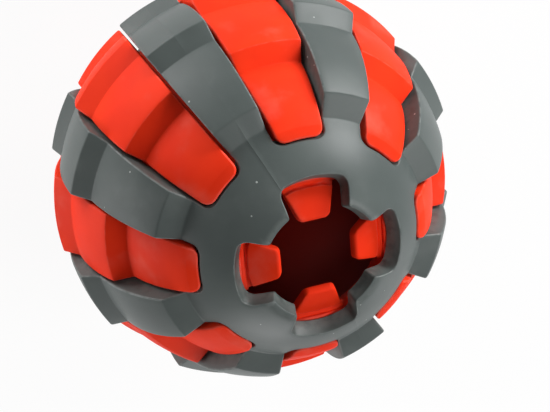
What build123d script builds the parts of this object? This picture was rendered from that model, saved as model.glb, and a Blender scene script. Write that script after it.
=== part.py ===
from build123d import *
import os
from math import acos, asin, atan2, cos, degrees, radians, sin, sqrt

# Treat dispensing ball: a red hollow rubber ball inside a grey rubber cage.
# The origin is the middle of the ball and +Z leaves through the opening that is filled.
# Polar angles are counted in degrees from +Z, azimuths from +X.

# Grey cage: caps, treads and wall
tread_radius = 50.0
tread_drop = 3.0
cage_wall = 8.0
cap_centre_height = 16.0
cap_pole_rise = 2.0
cap_edge_angle = 40.7
cap_wall = 4.0
cage_ramp_foot_angles = (74.5, 107.5)
cage_ramp_top_angles = (46.5, 80.0, 113.0)
tread_edge_fillet = 0.9
tread_foot_fillet = 0.7
rib_count = 8

# Windows of the cage
window_end_land = 3.4
window_half_angle = 12.9
window_corner_radius = 2.2

# Openings of the cage, at both poles
opening_radius = 14.4
notch_count = 4
notch_radius = 20.6
notch_mouth_width = 14.5
notch_outer_width = 17.0
notch_corner_radius = 2.4
rim_land = 1.2

# The cage is bonded from two halves on a plane through the axis
seam_azimuth = 112.5

# Red ball: wall and raised blocks that stand in the windows
bond_gap = 0.2
core_wall = 4.5
core_cap_wall = 4.2
block_gap = 0.75
block_corner_radius = 1.8
block_end_bevel = 1.5
block_end_rise = 1.2
block_low_drop = 6.1
block_mid_drop = 2.7
block_rear_drop = 3.4
block_high_drop = 0.4
block_ramp_foot_angles = (60.7, 87.0, 118.0)
block_ramp_top_angles = (64.7, 94.5, 123.5)
block_edge_fillet = 0.9
block_foot_fillet = 0.7

# Red tongues across each opening
tongue_hinge_radius = 17.2
tongue_hinge_depth = 2.75
tongue_bead_radius = 1.3
tongue_bead_length = 14.0
tongue_root_width = 13.6
tongue_tip_width = 7.2
tongue_tip_radius = 8.9
tongue_tip_rise = 4.4
tongue_step_radius = 16.3
tongue_web_thickness = 1.1
tongue_root_thickness = 2.0
tongue_middle_thickness = 2.8
tongue_tip_thickness = 2.2
tongue_corner_radius = 1.6
tongue_fit = 0.08
tongue_end_clearance = 0.3
tongue_seat_setback = 0.4
core_opening_bulge = 1.6

# Every cutting body runs this far past what it cuts
overrun = 5.0

cage_bore_radius = tread_radius - cage_wall
cap_radius = tread_radius + cap_pole_rise - cap_centre_height
cap_bore_radius = cap_radius - cap_wall
core_radius = cage_bore_radius - bond_gap
core_cap_radius = cap_bore_radius - bond_gap
core_flat_reach = tongue_hinge_radius + tongue_seat_setback
core_opening_radius = core_flat_reach + core_opening_bulge
reach = tread_radius + overrun


def polar_point(radius, angle):
    """Point of a half section at a polar angle, as (distance from the axis, height)."""
    return radius * sin(radians(angle)), radius * cos(radians(angle))


def cap_height(radius, from_axis):
    """Height of a cap sphere at a distance from the axis."""
    return cap_centre_height + sqrt(radius**2 - from_axis**2)


def cap_point(radius, angle):
    """Point of a half section where a cap sphere is met at a polar angle."""
    along = cap_centre_height * cos(radians(angle))
    across = cap_centre_height * sin(radians(angle))
    return polar_point(along + sqrt(radius**2 - across**2), angle)


def polar_angle(point):
    """Polar angle of a point of a half section."""
    return degrees(acos(point[1] / sqrt(point[0] ** 2 + point[1] ** 2)))


def mirrored(point):
    """The same point of a half section below the middle of the ball."""
    return point[0], -point[1]


cap_edge = cap_point(cap_radius, cap_edge_angle)
mouth_rise = cap_height(cap_radius, opening_radius) - cap_centre_height
window_end_radius = cap_edge[0] - window_end_land
tongue_hinge_height = cap_height(core_cap_radius, tongue_hinge_radius) - tongue_hinge_depth


def swelling_arc(start, end):
    """Arc of a half section whose radius runs evenly from one end to the other."""
    start_radius = sqrt(start[0] ** 2 + start[1] ** 2)
    end_radius = sqrt(end[0] ** 2 + end[1] ** 2)
    middle = polar_point((start_radius + end_radius) / 2, (polar_angle(start) + polar_angle(end)) / 2)
    return ThreePointArc(start, middle, end)


def cap_arc(radius, start, end):
    """Arc of a cap sphere between two points of the half section."""
    side = 1 if start[1] > 0 else -1
    from_axis = (start[0] + end[0]) / 2
    return ThreePointArc(start, (from_axis, side * cap_height(radius, from_axis)), end)


def vertices_at(face, points):
    """The corners of a face that lie nearest to the given points."""
    return [min(face.vertices(), key=lambda corner: (corner.X - x) ** 2 + (corner.Y - y) ** 2) for x, y in points]


def spun(section, turn=360):
    """Solid of revolution of a half section drawn as distance from the axis and height."""
    return revolve(Plane.XZ * section, Axis.Z, turn)


def opening_places(shape):
    """A shape beside the opening at +X copied round it and to the other opening."""
    top = [Rot(Z=360 / notch_count * index) * shape for index in range(notch_count)]
    return top + [mirror(each, Plane.XY) for each in top]


def double_cap_outline(main_radius, polar_radius):
    """Half section of a sphere with a tighter sphere set into each pole."""
    join_height = (main_radius**2 - polar_radius**2 + cap_centre_height**2) / (2 * cap_centre_height)
    join = (sqrt(main_radius**2 - join_height**2), join_height)
    pole = (0, cap_height(polar_radius, 0))
    edges = [
        cap_arc(polar_radius, pole, join),
        ThreePointArc(join, (main_radius, 0), mirrored(join)),
        cap_arc(polar_radius, mirrored(join), mirrored(pole)),
        Line(mirrored(pole), pole),
    ]
    return make_face(edges)


def sector(inner_radius, half_angle, gap, corner_radius):
    """Plan of a wedge about +X whose sides stand in by a gap, with rounded inner corners."""
    inner_angle = radians(half_angle) - asin(gap / inner_radius)
    outer_angle = radians(half_angle) - asin(gap / reach)
    inner = (inner_radius * cos(inner_angle), inner_radius * sin(inner_angle))
    outer = (reach * cos(outer_angle), reach * sin(outer_angle))
    edges = [
        Line(mirrored(inner), mirrored(outer)),
        ThreePointArc(mirrored(outer), (reach, 0), outer),
        Line(outer, inner),
        ThreePointArc(inner, (inner_radius, 0), mirrored(inner)),
    ]
    plan = make_face(edges)
    return fillet(vertices_at(plan, [inner, mirrored(inner)]), corner_radius)


def rib_pattern(plan):
    """A plan repeated once for each window, as prisms through the whole ball."""
    plans = [Rot(Z=360 / rib_count * index) * plan for index in range(rib_count)]
    return [extrude(each, reach, both=True) for each in plans]


def notch_plan():
    """Plan of one notch of an opening, about +X, as rays from the cap's centre draw it on the mouth's level."""
    spread = mouth_rise / (cap_height(cap_radius, notch_radius) - cap_centre_height)
    mouth_half = notch_mouth_width / 2
    outer_half = notch_outer_width / 2 * spread
    outer_radius = notch_radius * spread
    mouth = (sqrt(opening_radius**2 - mouth_half**2), mouth_half)
    outer = (sqrt(outer_radius**2 - outer_half**2), outer_half)
    edges = [
        Polyline((0, mouth_half), mouth, outer),
        ThreePointArc(outer, (outer_radius, 0), mirrored(outer)),
        Polyline(mirrored(outer), mirrored(mouth), (0, -mouth_half)),
        Line((0, -mouth_half), (0, mouth_half)),
    ]
    plan = make_face(edges)
    return fillet(vertices_at(plan, [outer, mirrored(outer)]), notch_corner_radius * spread)


def notch_cutter():
    """Cutter of one notch of the upper opening, with walls that stand square to the cap."""
    rises = (cap_bore_radius / 2, mouth_rise + overrun)
    levels = [Pos(0, 0, cap_centre_height + rise) * scale(notch_plan(), rise / mouth_rise) for rise in rises]
    return loft(levels, ruled=True)


def cage_section():
    """Half section of the cage through a rib."""
    land_radius = opening_radius + rim_land
    rim = (land_radius, cap_height(cap_radius, land_radius))
    rim_edge = (opening_radius, rim[1])
    tops = [polar_point(tread_radius, angle) for angle in cage_ramp_top_angles]
    feet = [polar_point(tread_radius - tread_drop, angle) for angle in cage_ramp_foot_angles]
    bore_height = (cage_bore_radius**2 - cap_bore_radius**2 + cap_centre_height**2) / (2 * cap_centre_height)
    bore_join = (sqrt(cage_bore_radius**2 - bore_height**2), bore_height)
    rim_lean = atan2(opening_radius, rim[1] - cap_centre_height)
    bore_rim_radius = cap_bore_radius * sin(rim_lean)
    bore_rim = (bore_rim_radius, cap_height(cap_bore_radius, bore_rim_radius))
    starts = [cap_edge, *feet]
    ends = [*feet, mirrored(cap_edge)]
    edges = [cap_arc(cap_radius, rim, cap_edge)]
    for start, top, end in zip(starts, tops, ends):
        edges += [Line(start, top), swelling_arc(top, end)]
    edges += [
        cap_arc(cap_radius, mirrored(cap_edge), mirrored(rim)),
        Polyline(mirrored(rim), mirrored(rim_edge), mirrored(bore_rim)),
        cap_arc(cap_bore_radius, mirrored(bore_rim), mirrored(bore_join)),
        ThreePointArc(mirrored(bore_join), (cage_bore_radius, 0), bore_join),
        cap_arc(cap_bore_radius, bore_join, bore_rim),
        Polyline(bore_rim, rim_edge, rim),
    ]
    section = make_face(edges)
    section = fillet(vertices_at(section, tops), tread_edge_fillet)
    return fillet(vertices_at(section, starts), tread_foot_fillet)


def make_cage_halves():
    """The two bonded halves of the cage, on either side of the seam."""
    half = spun(cage_section(), 180)
    windows = rib_pattern(sector(window_end_radius, window_half_angle, 0, window_corner_radius))
    notches = opening_places(notch_cutter())
    return [Rot(Z=azimuth) * half - windows - notches for azimuth in (seam_azimuth - 180, seam_azimuth)]


def block_section():
    """Half section of the raised blocks of the red ball, down into its wall."""
    end_radius = window_end_radius + block_gap
    crest_radius = end_radius + block_end_bevel
    end_foot = (end_radius, cap_centre_height)
    end_edge = (end_radius, cap_height(cap_radius, end_radius))
    crest = (crest_radius, cap_height(cap_radius, crest_radius) + block_end_rise)
    foot_drops = (block_low_drop, block_rear_drop, block_rear_drop)
    top_drops = (block_mid_drop, block_high_drop, block_high_drop)
    feet = [polar_point(tread_radius - drop, angle) for drop, angle in zip(foot_drops, block_ramp_foot_angles)]
    tops = [polar_point(tread_radius - drop, angle) for drop, angle in zip(top_drops, block_ramp_top_angles)]
    edges = [Line(end_foot, end_edge), Line(end_edge, crest)]
    start = crest
    for foot, top in zip(feet, tops):
        edges += [swelling_arc(start, foot), Line(foot, top)]
        start = top
    edges += [
        swelling_arc(start, mirrored(crest)),
        Line(mirrored(crest), mirrored(end_edge)),
        Line(mirrored(end_edge), mirrored(end_foot)),
        Line(mirrored(end_foot), end_foot),
    ]
    section = make_face(edges)
    section = fillet(vertices_at(section, [*tops, crest, mirrored(crest)]), block_edge_fillet)
    return fillet(vertices_at(section, feet), block_foot_fillet)


def core_opening():
    """Plan of the opening of the red ball, flat where each tongue is rooted."""
    width = 2 * core_flat_reach
    return Rectangle(width, width) & Circle(core_opening_radius)


def make_core():
    """The red ball with its raised blocks, its cavity and the seats of the tongues."""
    body = spun(double_cap_outline(core_radius, core_cap_radius))
    wedges = rib_pattern(sector(window_end_radius + block_gap, window_half_angle, block_gap, block_corner_radius))
    ring = spun(block_section())
    body += [ring & wedge for wedge in wedges]
    body -= spun(double_cap_outline(core_radius - core_wall, core_cap_radius - core_cap_wall))
    body -= extrude(core_opening(), reach, both=True)
    seat_length = tongue_bead_length + 2 * tongue_end_clearance
    seat = Rot(X=90) * Cylinder(tongue_bead_radius + tongue_fit, seat_length)
    return body - opening_places(Pos(tongue_hinge_radius, 0, tongue_hinge_height) * seat)


def make_tongue():
    """The tongue at +X of the upper opening: a crowned blade that steps down to its root and its round bead."""
    run = tongue_hinge_radius - tongue_tip_radius
    length = sqrt(run**2 + tongue_tip_rise**2)
    slope = degrees(asin(tongue_tip_rise / length))
    root_half = tongue_root_thickness / 2
    middle_half = tongue_middle_thickness / 2
    tip_half = tongue_tip_thickness / 2
    side = make_face(
        [
            ThreePointArc((0, root_half), (-length / 2, middle_half), (-length, tip_half)),
            Line((-length, tip_half), (-length, -tip_half)),
            ThreePointArc((-length, -tip_half), (-length / 2, -middle_half), (0, -root_half)),
            Line((0, -root_half), (0, root_half)),
        ]
    )
    tip = (-length, tongue_tip_width / 2)
    root = (0, tongue_root_width / 2)
    plan = make_face(Polyline(root, tip, mirrored(tip), mirrored(root), close=True))
    plan = fillet(vertices_at(plan, [tip, mirrored(tip)]), tongue_corner_radius)
    web = extrude(plan, tongue_web_thickness / 2, both=True)
    stepped_plan = plan & (Pos(-tongue_hinge_radius, 0) * Circle(tongue_step_radius))
    blade = extrude(Plane.XZ * side, tongue_root_width, both=True)
    blade &= extrude(stepped_plan, tongue_middle_thickness, both=True)
    bead = Rot(X=90) * Cylinder(tongue_bead_radius, tongue_bead_length)
    return Pos(tongue_hinge_radius, 0, tongue_hinge_height) * Rot(Y=slope) * (blade + web + bead)


def write(name, shape):
    """Write one named piece."""
    export_step(shape, f"parts/{name}.step")
    box = shape.bounding_box()
    print(name, len(shape.solids()), round(shape.volume, 1), box.min, box.max)


os.makedirs("parts", exist_ok=True)
left_half, right_half = make_cage_halves()
write("cage_left_half", left_half)
write("cage_right_half", right_half)
write("inner_ball", make_core())
tongues = opening_places(make_tongue())
for end, group in zip(("top", "bottom"), (tongues[:notch_count], tongues[notch_count:])):
    for number, tongue in enumerate(group, start=1):
        write(f"{end}_tongue_{number}", tongue)
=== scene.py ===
import logging
from dataclasses import dataclass, field
from enum import Enum
from math import acos, asin, ceil, cos, degrees, pi, radians, sin, sqrt, tan
from typing import Any, Sequence, TypeAlias

import bmesh
import bpy
import numpy as np
from mathutils import Matrix, Vector
from mathutils.geometry import delaunay_2d_cdt


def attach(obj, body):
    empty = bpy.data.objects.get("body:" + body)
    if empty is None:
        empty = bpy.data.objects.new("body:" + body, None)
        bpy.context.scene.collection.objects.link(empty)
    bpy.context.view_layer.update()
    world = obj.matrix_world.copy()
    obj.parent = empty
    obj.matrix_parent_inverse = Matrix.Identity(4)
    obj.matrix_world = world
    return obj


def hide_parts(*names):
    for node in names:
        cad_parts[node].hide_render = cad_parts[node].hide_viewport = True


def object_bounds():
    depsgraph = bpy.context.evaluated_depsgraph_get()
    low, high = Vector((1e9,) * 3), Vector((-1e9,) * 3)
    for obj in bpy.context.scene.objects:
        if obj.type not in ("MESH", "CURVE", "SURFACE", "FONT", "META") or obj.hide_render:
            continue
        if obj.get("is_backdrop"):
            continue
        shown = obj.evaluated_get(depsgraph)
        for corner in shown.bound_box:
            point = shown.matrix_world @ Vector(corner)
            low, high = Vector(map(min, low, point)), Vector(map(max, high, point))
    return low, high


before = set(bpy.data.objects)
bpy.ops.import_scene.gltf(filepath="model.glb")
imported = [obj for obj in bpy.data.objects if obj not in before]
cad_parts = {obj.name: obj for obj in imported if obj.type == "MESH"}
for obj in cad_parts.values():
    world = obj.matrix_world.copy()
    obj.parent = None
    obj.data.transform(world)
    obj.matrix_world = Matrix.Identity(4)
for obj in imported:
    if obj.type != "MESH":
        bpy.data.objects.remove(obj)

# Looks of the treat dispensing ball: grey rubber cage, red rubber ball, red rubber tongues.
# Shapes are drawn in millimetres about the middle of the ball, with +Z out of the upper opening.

MM = 0.001
log = logging.getLogger("treat_ball")

# Distances in metres below which points are one, and within which a cut takes in a point.
MERGE_DISTANCE = 2e-6
CUT_DISTANCE = 1e-7
# Smallest distance that the triangulation of a flat picture tells apart, in millimetres.
FLAT_DISTANCE = 1e-7
# Millimetres of a flat picture to a radian of azimuth.
FLAT_SCALE = 36.0
# Azimuth between the columns of points of a patch.
COLUMN = radians(2.25)
# Least steps between the rows of points of a stepped surface and of a plain sphere, in millimetres.
FINE_ROW = 0.12
SPHERE_ROW = 0.5
HOLLOW_ROW = 1.0
# Points of a rounded corner of a window or a block, and points across its ends.
CORNER_POINTS = 7
END_POINTS = 9
# Polar angles between which walls turn from along the axis to towards the middle, in degrees.
WALL_LEAN = (28.0, 46.0)
# The attribute that holds the wear of edges together with a painted highlight on their roundings, and the
# bends between which it rises.
WEAR_AND_HIGHLIGHT_ATTRIBUTE = "edge_wear_and_highlight"
WEAR_AND_HIGHLIGHT_ANGLES = (radians(13), radians(25))

Array: TypeAlias = np.ndarray
# Azimuths in radians and places along a half section, point by point.
Track: TypeAlias = tuple[Array, Array]
Rgb: TypeAlias = tuple[float, float, float]


class End(Enum):
    """The two openings of the ball, with the side of the middle that each lies on."""

    TOP = 1
    BOTTOM = -1


@dataclass(frozen=True)
class Corner:
    """A point of a half section, rounded where it has a radius.

    Args:
        out: distance from the axis.
        up: height above the middle of the ball.
        rounding: radius of the corner.
    """

    out: float
    up: float
    rounding: float = 0.0

    @property
    def flat(self) -> Array:
        """The point as an array of distance and height."""
        return np.array((self.out, self.up))

    def mirrored(self) -> "Corner":
        """The same point below the middle of the ball."""
        return Corner(self.out, -self.up, self.rounding)


def polar_corner(radius: float, angle: float, rounding: float = 0.0) -> Corner:
    """A corner at a radius and a polar angle in degrees.

    Args:
        radius: distance from the middle of the ball.
        angle: polar angle from +Z.
        rounding: radius of the corner.

    Returns:
        The corner.
    """
    return Corner(radius * sin(radians(angle)), radius * cos(radians(angle)), rounding)


def round_corner(before: Corner, corner: Corner, after: Corner, steps: int = 4) -> list[Corner]:
    """Replace a corner of a half section by the points of its rounding.

    Args:
        before: the point before the corner.
        corner: the corner to round.
        after: the point after the corner.
        steps: pieces of the arc.

    Returns:
        The points of the arc, or the corner itself where it isn't rounded.
    """
    if corner.rounding == 0:
        return [corner]
    back = before.flat - corner.flat
    onward = after.flat - corner.flat
    back /= np.linalg.norm(back)
    onward /= np.linalg.norm(onward)
    half = acos(float(np.clip(back @ onward, -1, 1))) / 2
    middle = (back + onward) / np.linalg.norm(back + onward)
    centre = corner.flat + middle * corner.rounding / sin(half)
    start = corner.flat + back * corner.rounding / tan(half) - centre
    end = corner.flat + onward * corner.rounding / tan(half) - centre
    sweep = pi - 2 * half
    points = []
    for step in range(steps + 1):
        share = step / steps
        point = centre + (sin((1 - share) * sweep) * start + sin(share * sweep) * end) / sin(sweep)
        points.append(Corner(float(point[0]), float(point[1])))
    return points


def swelling_run(start: Corner, end: Corner, spacing: float = 2.2) -> list[Corner]:
    """Points between two corners on an arc whose radius runs evenly from one to the other.

    Args:
        start: the first corner, left out of the run.
        end: the last corner, left out of the run.
        spacing: polar angle between the points, in degrees.

    Returns:
        The points between.
    """
    radii = [float(np.linalg.norm(corner.flat)) for corner in (start, end)]
    angles = [degrees(acos(corner.up / radius)) for corner, radius in zip((start, end), radii)]
    count = ceil(abs(angles[1] - angles[0]) / spacing)
    shares = [step / count for step in range(1, count)]
    return [
        polar_corner(radii[0] + (radii[1] - radii[0]) * share, angles[0] + (angles[1] - angles[0]) * share)
        for share in shares
    ]


class Meridian:
    """Half section of a surface of revolution, walked from the upper end to the lower end."""

    def __init__(self, corners: Sequence[Corner]) -> None:
        """Round the corners and measure the walk along them.

        Args:
            corners: the half section from top to bottom.
        """
        points: list[Corner] = [corners[0]]
        for before, corner, after in zip(corners, corners[1:], corners[2:]):
            points += round_corner(before, corner, after)
        points.append(corners[-1])
        self.flat = np.array([point.flat for point in points])
        steps = np.diff(self.flat, axis=0)
        lengths = np.linalg.norm(steps, axis=1)
        self.walk = np.concatenate(([0.0], np.cumsum(lengths)))
        slopes = steps / lengths[:, None]
        tangents = np.vstack((slopes[:1], slopes[:-1] + slopes[1:], slopes[-1:]))
        self.tangents = tangents / np.linalg.norm(tangents, axis=1)[:, None]

    @property
    def length(self) -> float:
        """Length of the whole walk."""
        return float(self.walk[-1])

    def point(self, walk: Array) -> Array:
        """Distances from the axis and heights at places of the walk."""
        return np.stack([np.interp(walk, self.walk, self.flat[:, axis]) for axis in (0, 1)], axis=-1)

    def tangent(self, walk: Array) -> Array:
        """Directions along the walk, as parts away from the axis and upwards."""
        found = np.stack([np.interp(walk, self.walk, self.tangents[:, axis]) for axis in (0, 1)], axis=-1)
        return found / np.linalg.norm(found, axis=-1, keepdims=True)

    def walk_at_out(self, out: float) -> float:
        """Place of the walk, on the upper cap, at a distance from the axis."""
        top = int(np.argmax(np.diff(self.flat[:, 0]) <= 0)) or len(self.flat)
        return float(np.interp(out, self.flat[:top, 0], self.walk[:top]))

    def walk_at_polar(self, polar: Array) -> Array:
        """Places of the walk at polar angles, in radians."""
        own = np.arctan2(self.flat[:, 0], self.flat[:, 1])
        return np.interp(polar, own, self.walk)

    def rows(self, start: float, end: float, least: float) -> Array:
        """Places of the walk between two others where a row of points is set.

        Args:
            start: where the rows start.
            end: where the rows end.
            least: smallest step between rows.

        Returns:
            The places, without the start and the end.
        """
        kept: list[float] = []
        last = start
        for place in self.walk:
            if start + least < place < end - least and place - last >= least:
                kept.append(float(place))
                last = place
        return np.array(kept)

    def surface(self, turn: Array, walk: Array) -> Array:
        """Points of the surface of revolution.

        Args:
            turn: azimuths in radians.
            walk: places of the walk.

        Returns:
            The points as rows of three numbers.
        """
        return stand(turn, self.point(walk))


def arc(centre: Sequence[float], radius: float, start: float, end: float, count: int) -> Array:
    """Points of an arc in a plane.

    Args:
        centre: its centre.
        radius: its radius.
        start: angle of the first point, in radians.
        end: angle of the last point, in radians.
        count: how many points it has.

    Returns:
        The points as rows of two numbers.
    """
    angles = np.linspace(start, end, count)
    return np.asarray(centre) + radius * np.stack((np.cos(angles), np.sin(angles)), axis=1)


def smooth_step(share: Array) -> Array:
    """Shares from 0 to 1, with a soft start and a soft end."""
    return share * share * (3 - 2 * share)


def stand(turn: Array, flat: Array) -> Array:
    """Turn points or directions of a half section about the axis.

    Args:
        turn: azimuths in radians.
        flat: parts away from the axis and upwards.

    Returns:
        The points or directions as rows of three numbers.
    """
    return np.stack((flat[..., 0] * np.cos(turn), flat[..., 0] * np.sin(turn), flat[..., 1]), axis=-1)


@dataclass(frozen=True)
class DoubleCap:
    """A sphere with a tighter sphere set over each pole.

    Args:
        radius: radius of the main sphere.
        cap_radius: radius of the polar spheres.
        cap_centre: height of the centre of the upper polar sphere.
    """

    radius: float
    cap_radius: float
    cap_centre: float

    def reach(self, polar: Array) -> Array:
        """Distance of the surface from the middle of the ball.

        Args:
            polar: polar angles in radians.

        Returns:
            The distances.
        """
        along = self.cap_centre * np.abs(np.cos(polar))
        across = self.cap_centre * np.sin(polar)
        cap = along + np.sqrt(self.cap_radius**2 - across**2)
        return np.maximum(self.radius, cap)

    def height(self, out: Array) -> Array:
        """Height of the upper polar sphere at a distance from the axis."""
        return self.cap_centre + np.sqrt(self.cap_radius**2 - out**2)

    def hit(self, flat: Array, direction: Array) -> Array:
        """First points where rays of a half section meet the surface from outside.

        Args:
            flat: starts of the rays.
            direction: unit directions of the rays.

        Returns:
            The points met.
        """
        best = np.full(len(flat), np.inf)
        spheres = (
            (0.0, self.radius),
            (self.cap_centre, self.cap_radius),
            (-self.cap_centre, self.cap_radius),
        )
        for centre, radius in spheres:
            offset = flat - np.array((0.0, centre))
            along = (offset * direction).sum(axis=1)
            inside = along**2 - (offset**2).sum(axis=1) + radius**2
            near = -along - np.sqrt(np.maximum(inside, 0))
            best = np.where((inside > 0) & (near > 0) & (near < best), near, best)
        return flat + direction * best[:, None]

    def meridian(self, start: float, spacing: float = 2.5) -> Meridian:
        """The half section between two equal circles round the poles.

        Args:
            start: polar angle where it starts, in radians.
            spacing: polar angle between its points, in degrees.

        Returns:
            The half section.
        """
        count = ceil((pi - 2 * start) / radians(spacing))
        polar = np.linspace(start, pi - start, 2 * (count // 2) + 1)
        radii = self.reach(polar)
        return Meridian([polar_corner(float(radius), degrees(angle)) for radius, angle in zip(radii, polar)])


class MeshDraft:
    """Points and faces that grow piece by piece into one mesh."""

    def __init__(self) -> None:
        """Start without points or faces."""
        self.points: list[Array] = []
        self.count = 0
        self.faces: list[tuple[int, ...]] = []

    def add(self, points: Array) -> Array:
        """Add points.

        Args:
            points: rows of three numbers.

        Returns:
            The numbers of the points in the mesh.
        """
        self.points.append(np.asarray(points, float).reshape(-1, 3))
        numbers = np.arange(self.count, self.count + len(self.points[-1]))
        self.count += len(numbers)
        return numbers

    def add_faces(self, numbers: Array, faces: Sequence[tuple[int, ...]], turned: bool = False) -> None:
        """Add faces between points of the mesh.

        Args:
            numbers: the numbers that the points have in the mesh.
            faces: corners of the faces, counted among those points.
            turned: whether the faces look the other way.
        """
        step = -1 if turned else 1
        self.faces += [tuple(int(numbers[corner]) for corner in face[::step]) for face in faces]

    def loft(self, rows: Sequence[Array], closed: bool) -> None:
        """Join each row of points to the next by faces.

        Args:
            rows: numbers of the rows, all of the same length.
            closed: whether the rows are rings.
        """
        for first, second in zip(rows, rows[1:]):
            last = len(first) if closed else len(first) - 1
            for here in range(last):
                there = (here + 1) % len(first)
                corners = (first[here], first[there], second[there], second[here])
                self.faces.append(tuple(int(corner) for corner in corners))

    def mesh(self, name: str, scale: Sequence[float] = (1, 1, 1)) -> bpy.types.Mesh:
        """The finished mesh, in metres.

        Args:
            name: its name.
            scale: factors along the three axes, -1 to mirror.

        Returns:
            The mesh.
        """
        made = bpy.data.meshes.new(name)
        points = np.vstack(self.points) * np.array(scale) * MM
        made.from_pydata(points.tolist(), [], self.faces)
        return made


def inside(points: Array, loop: Array) -> Array:
    """Which points lie inside a closed outline, by the even and odd rule.

    Args:
        points: the points to test.
        loop: the outline.

    Returns:
        For each point whether it lies inside.
    """
    after = np.roll(loop, -1, axis=0)
    found = np.zeros(len(points), bool)
    for (x0, y0), (x1, y1) in zip(loop, after):
        if y0 == y1:
            continue
        crosses = (y0 > points[:, 1]) != (y1 > points[:, 1])
        found ^= crosses & (points[:, 0] < x0 + (points[:, 1] - y0) * (x1 - x0) / (y1 - y0))
    return found


def between(points: Array, outline: Array, holes: Sequence[Array]) -> Array:
    """Which points lie inside an outline and outside all of its holes.

    Args:
        points: the points to test.
        outline: the outline.
        holes: the outlines of the holes.

    Returns:
        For each point whether it lies between them.
    """
    found = inside(points, outline)
    for hole in holes:
        found &= ~inside(points, hole)
    return found


def fill(
    outline: Array, holes: Sequence[Array], grid: Array
) -> tuple[Array, list[tuple[int, ...]]]:
    """Triangles between an outline and its holes.

    Args:
        outline: closed outline in a flat picture.
        holes: closed outlines of what stays open.
        grid: points to use between them.

    Returns:
        All points, with the outline first, then the holes and the grid, and the triangles between them.
    """
    loops = [outline, *holes]
    points = np.vstack([*loops, grid[between(grid, outline, holes)]])
    edges = []
    first = 0
    for loop in loops:
        edges += [(first + here, first + (here + 1) % len(loop)) for here in range(len(loop))]
        first += len(loop)
    flat = [Vector(point) for point in points.tolist()]
    found, _, faces, sources, _, _ = delaunay_2d_cdt(flat, edges, [], 0, FLAT_DISTANCE)
    middles = np.array([np.mean([found[corner] for corner in face], axis=0) for face in faces])
    wanted = np.flatnonzero(between(middles, outline, holes))
    return points, [tuple(sources[corner][0] for corner in faces[number]) for number in wanted]


@dataclass
class Edge:
    """A free edge of a surface of revolution, which is rounded over and drops into a wall.

    Args:
        turn: azimuths of its points, in radians.
        walk: places of its points along the half section.
        closed: whether it is a ring.
        rounding: radius of the rounded edge.
        steps: pieces of the rounding.
    """

    turn: Array
    walk: Array
    closed: bool
    rounding: float
    steps: int = 4

    def outward(self, meridian: Meridian) -> Array:
        """Unit directions along the surface into the open.

        Args:
            meridian: the half section of the surface.

        Returns:
            The directions as parts along azimuth and walk.
        """
        out = meridian.point(self.walk)[:, 0]
        turn, walk = self.turn, self.walk
        if self.closed:
            step_turn = np.roll(turn, -1) - np.roll(turn, 1)
            step_walk = np.roll(walk, -1) - np.roll(walk, 1)
        else:
            step_turn = np.gradient(turn)
            step_walk = np.gradient(walk)
        across = np.stack((step_walk, -out * step_turn), axis=1)
        if not self.closed:
            across[[0, -1], 0] = 0.0
        return across / np.linalg.norm(across, axis=1)[:, None]

    def rings(self, meridian: Meridian, drop: Array) -> tuple[Array, Array, list[Array]]:
        """Rows of points over the rounded edge.

        Args:
            meridian: the half section of the surface.
            drop: unit directions of the wall in the half section, one for each point.

        Returns:
            Azimuth and walk of the row on the surface, and the rows from there to the top of the wall.
        """
        flat = meridian.point(self.walk)
        tangent = meridian.tangent(self.walk)
        way = self.outward(meridian)
        around = np.stack((-np.sin(self.turn), np.cos(self.turn), np.zeros_like(self.turn)), axis=1)
        away = way[:, :1] * around + way[:, 1:] * stand(self.turn, tangent)
        down = stand(self.turn, drop)
        lean = (away * down).sum(axis=1)
        sweep = np.arccos(np.clip(lean, -1, 1))
        up = lean[:, None] * away - down
        up /= np.linalg.norm(up, axis=1)[:, None]
        inset = self.rounding * np.tan(sweep / 2)
        start_turn = self.turn - way[:, 0] * inset / flat[:, 0]
        start_walk = self.walk - way[:, 1] * inset
        place = stand(self.turn, flat)
        rows = [meridian.surface(start_turn, start_walk)]
        for step in range(1, self.steps + 1):
            angle = sweep * step / self.steps
            forward = self.rounding * np.sin(angle) - inset
            lift = self.rounding * (np.cos(angle) - 1)
            rows.append(place + forward[:, None] * away + lift[:, None] * up)
        return start_turn, start_walk, rows


def wedge_loop(
    meridian: Meridian, half_turn: float, gap: float, ends: tuple[float, float], corner: float
) -> Track:
    """Closed outline of a window or of a block: two sides along the half section and rounded ends.

    Args:
        meridian: the half section of the surface.
        half_turn: half of the azimuth between the sides, in radians.
        gap: distance that the sides stand in.
        ends: places of the two ends along the walk.
        corner: radius of the corners.

    Returns:
        Azimuths and places of the points, with the surface around the outline on their left.
    """
    start, end = ends
    bend = np.linspace(0, pi / 2, CORNER_POINTS)
    low = start + corner * (1 - np.cos(bend))
    high = end - corner * (1 - np.cos(bend[::-1]))
    rows = meridian.rows(start + corner, end - corner, FINE_ROW)
    walk = np.concatenate((low, rows, high))
    trim = np.concatenate((1 - np.sin(bend), np.zeros(len(rows)), 1 - np.sin(bend[::-1]))) * corner
    out = meridian.point(walk)[:, 0]
    turn = half_turn - np.arcsin(gap / out) - trim / out
    across = np.linspace(-1, 1, END_POINTS)[1:-1]
    turns = np.concatenate((turn, turn[-1] * -across, -turn[::-1], turn[0] * across))
    walks = np.concatenate((walk, np.full(len(across), end), walk[::-1], np.full(len(across), start)))
    return turns[::-1], walks[::-1]


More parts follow.
